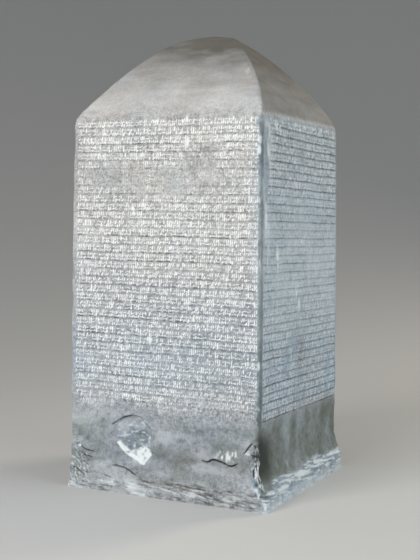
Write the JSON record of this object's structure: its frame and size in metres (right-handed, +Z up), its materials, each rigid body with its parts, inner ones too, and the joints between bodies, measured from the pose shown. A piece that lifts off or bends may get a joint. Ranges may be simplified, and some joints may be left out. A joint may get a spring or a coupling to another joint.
{
  "type": "carved stone stele",
  "caption": "Four-sided standing stone with a low domed head, rows of shallow carved strokes on its upright faces and a rough foot; stands by its own weight.",
  "frame": {"origin": "middle of the underside's bounding box, on the surface the stone stands on", "axes": "+Z up along the stone's height, -Y out of the wide front face with the leaf-shaped scar, +X out of the right face"},
  "size_m": [0.5438, 0.5256, 1.11],
  "materials": {
    "stone": "matte"
  },
  "bodies": {
    "root": {"stele": "stone"}
  },
  "joints": []
}
